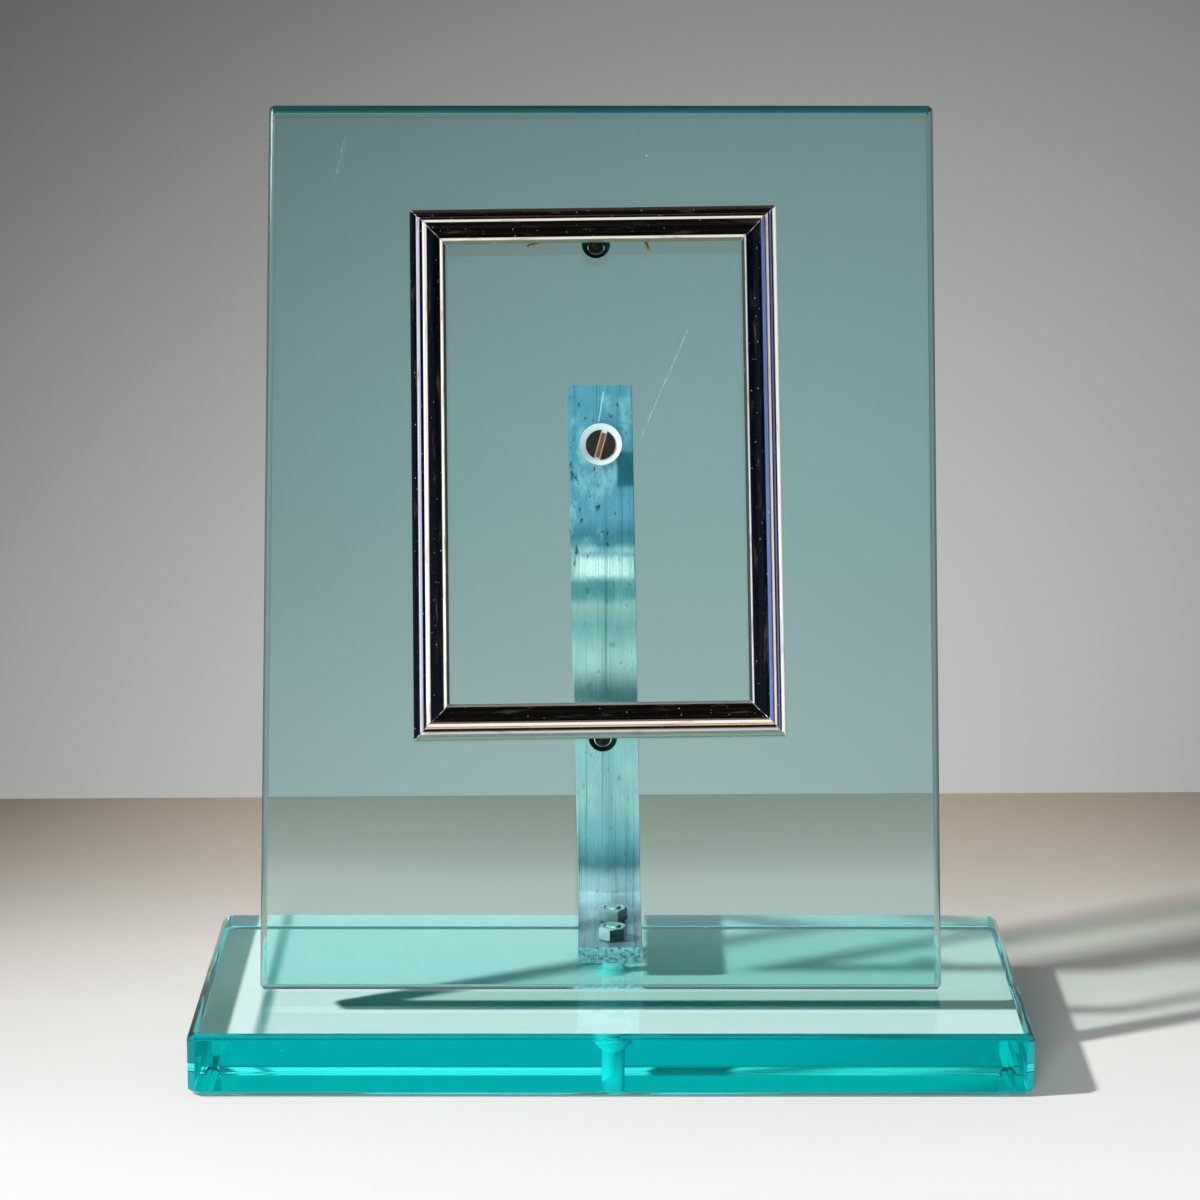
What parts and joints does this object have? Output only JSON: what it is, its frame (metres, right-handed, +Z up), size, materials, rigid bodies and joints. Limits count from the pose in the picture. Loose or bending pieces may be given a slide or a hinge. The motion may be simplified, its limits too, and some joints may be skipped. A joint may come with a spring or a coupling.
{
  "type": "glass picture frame",
  "caption": "Leaning plate-glass panel on a glass base, held up by a bent metal strut behind it, with a mitred metal moulding on its front that holds a print.",
  "frame": {"origin": "centre of the base's underside, on the surface that the object stands on", "axes": "+Z up, +X to the right seen from the front, +Y to the back, so the front faces -Y"},
  "size_m": [0.25, 0.1323, 0.2795],
  "materials": {
    "plate_glass": "polished blue-green plate glass",
    "aluminium_bar": "drawn flat bar with die lines",
    "plated_steel": "bright zinc plate",
    "dark_steel": "turned and tarnished",
    "plated_moulding": "bright plate, lightly worn",
    "brass": "dull brass"
  },
  "bodies": {
    "stand": {"base_plate": "plate_glass", "glass_panel": "plate_glass", "strut": "aluminium_bar", "panel_screw": "dark_steel", "panel_screw_nut": "plated_steel", "foot_bolt_front": "plated_steel", "foot_bolt_rear": "plated_steel", "foot_nut_front": "plated_steel", "foot_nut_rear": "plated_steel"},
    "moulding": {"rail_top": "plated_moulding", "rail_bottom": "plated_moulding", "rail_left": "plated_moulding", "rail_right": "plated_moulding", "pin_top": "brass", "pin_bottom": "brass"},
    "prong_left": {"prong_left": "brass"},
    "prong_right": {"prong_right": "brass"}
  },
  "joints": [
    {"name": "frame_lift", "type": "slide", "parent": "stand", "child": "moulding", "axis": [0, -0.9444, 0.3289], "range_m": [0, 0.009]},
    {"name": "prong_left_turn", "type": "hinge", "parent": "moulding", "child": "prong_left", "pos_m": [-0.01951, 0.04771, 0.23963], "axis": [0, -0.9444, 0.3289], "range_deg": [-16, 74]},
    {"name": "prong_right_turn", "type": "hinge", "parent": "moulding", "child": "prong_right", "pos_m": [0.01029, 0.04785, 0.24003], "axis": [0, -0.9444, 0.3289], "range_deg": [-26, 64]}
  ]
}
